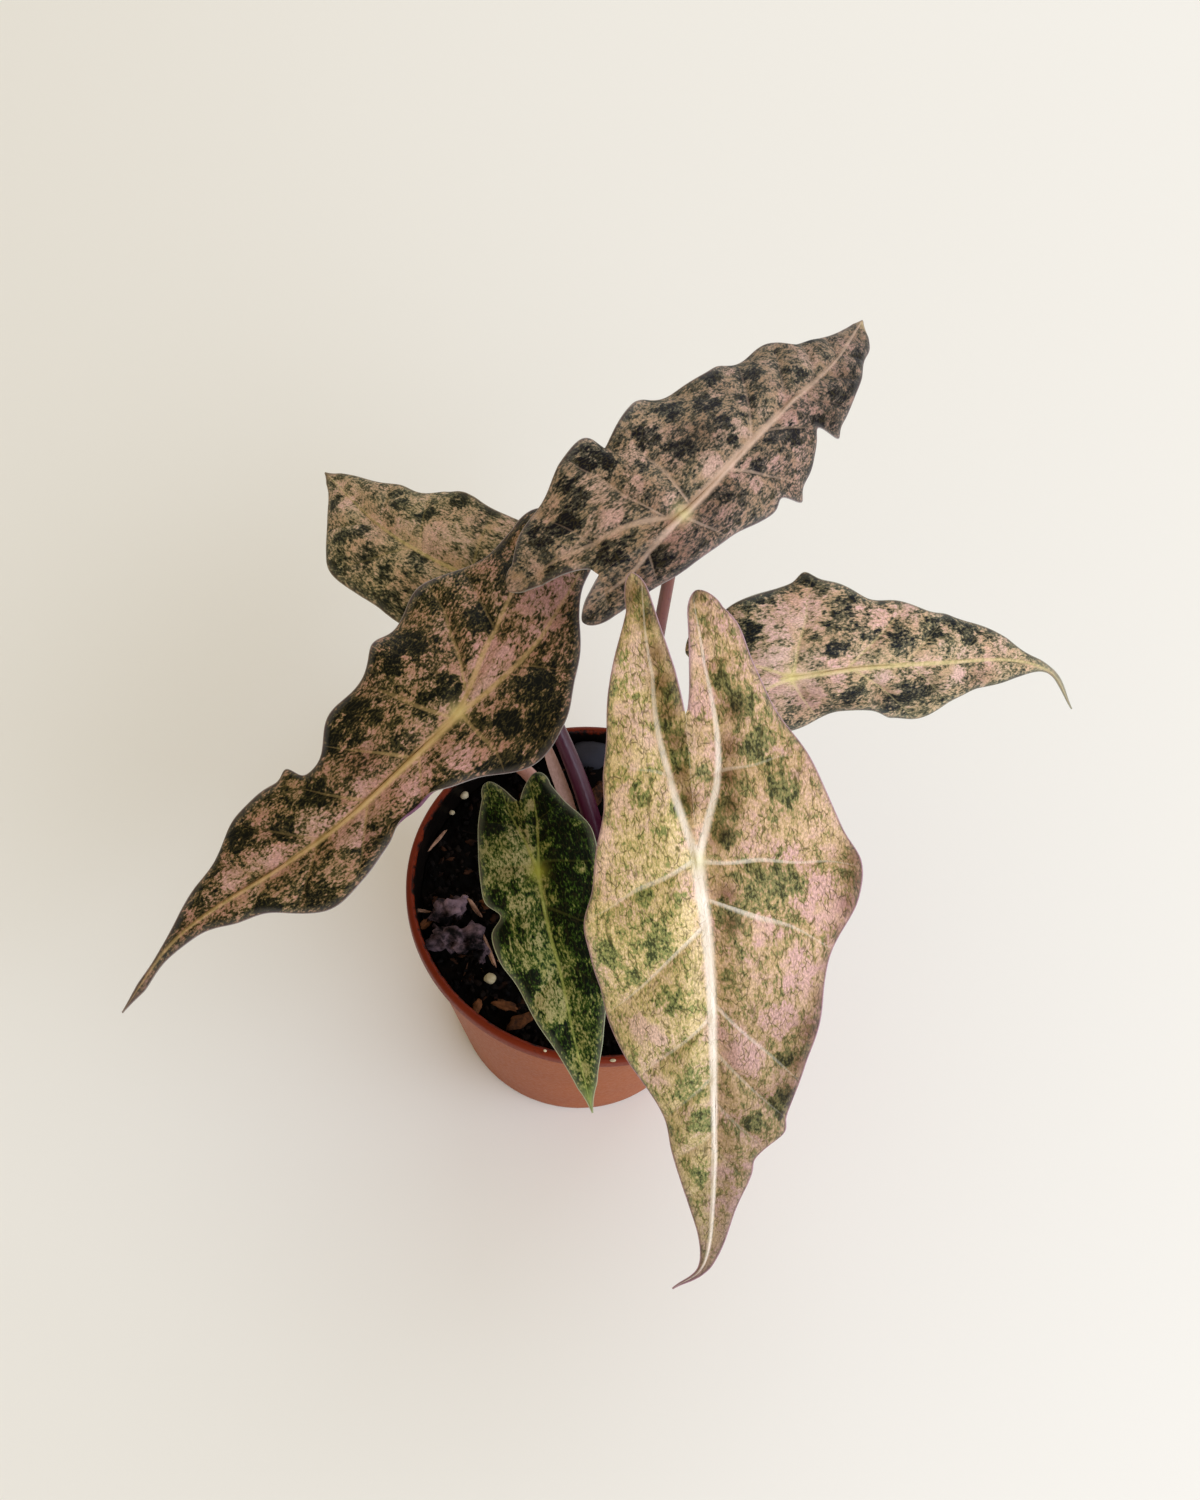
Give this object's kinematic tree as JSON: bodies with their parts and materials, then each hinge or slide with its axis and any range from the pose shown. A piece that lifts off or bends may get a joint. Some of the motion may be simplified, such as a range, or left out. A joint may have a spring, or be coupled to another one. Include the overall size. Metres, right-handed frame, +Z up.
{
  "type": "potted alocasia",
  "caption": "Potted alocasia with long arrow-shaped blades, mottled pink and green with pale veins, on slim plum petioles in a tapered terracotta-coloured pot.",
  "frame": {"origin": "centre of the pot's base, on the surface that it stands on", "axes": "+Z up along the pot's axis, -Y towards the front of the plant, where the front blade points, +X to the right as seen from the front"},
  "size_m": [0.2688, 0.2831, 0.2414],
  "materials": {
    "pot": "moulded plastic, satin",
    "soil": "crumbly, moist",
    "corm": "rough skin",
    "sheath": "dry",
    "petiole": "waxy",
    "blade_front": "waxy, mottled, with pale veins",
    "blade_top": "waxy, mottled, with pale veins",
    "blade_left": "waxy, mottled, with pale veins",
    "blade_right": "waxy, mottled, with pale veins",
    "blade_back": "waxy, mottled, with pale veins",
    "blade_small": "waxy, mottled, with pale veins"
  },
  "bodies": {
    "root": {"pot": "pot", "soil": "soil", "corm": "corm", "old_sheath": "sheath", "petiole_front": "petiole", "petiole_top": "petiole", "petiole_left": "petiole", "petiole_right": "petiole", "petiole_back": "petiole", "petiole_small": "petiole", "blade_front": "blade_front", "blade_top": "blade_top", "blade_left": "blade_left", "blade_right": "blade_right", "blade_back": "blade_back", "blade_small": "blade_small"}
  },
  "joints": []
}
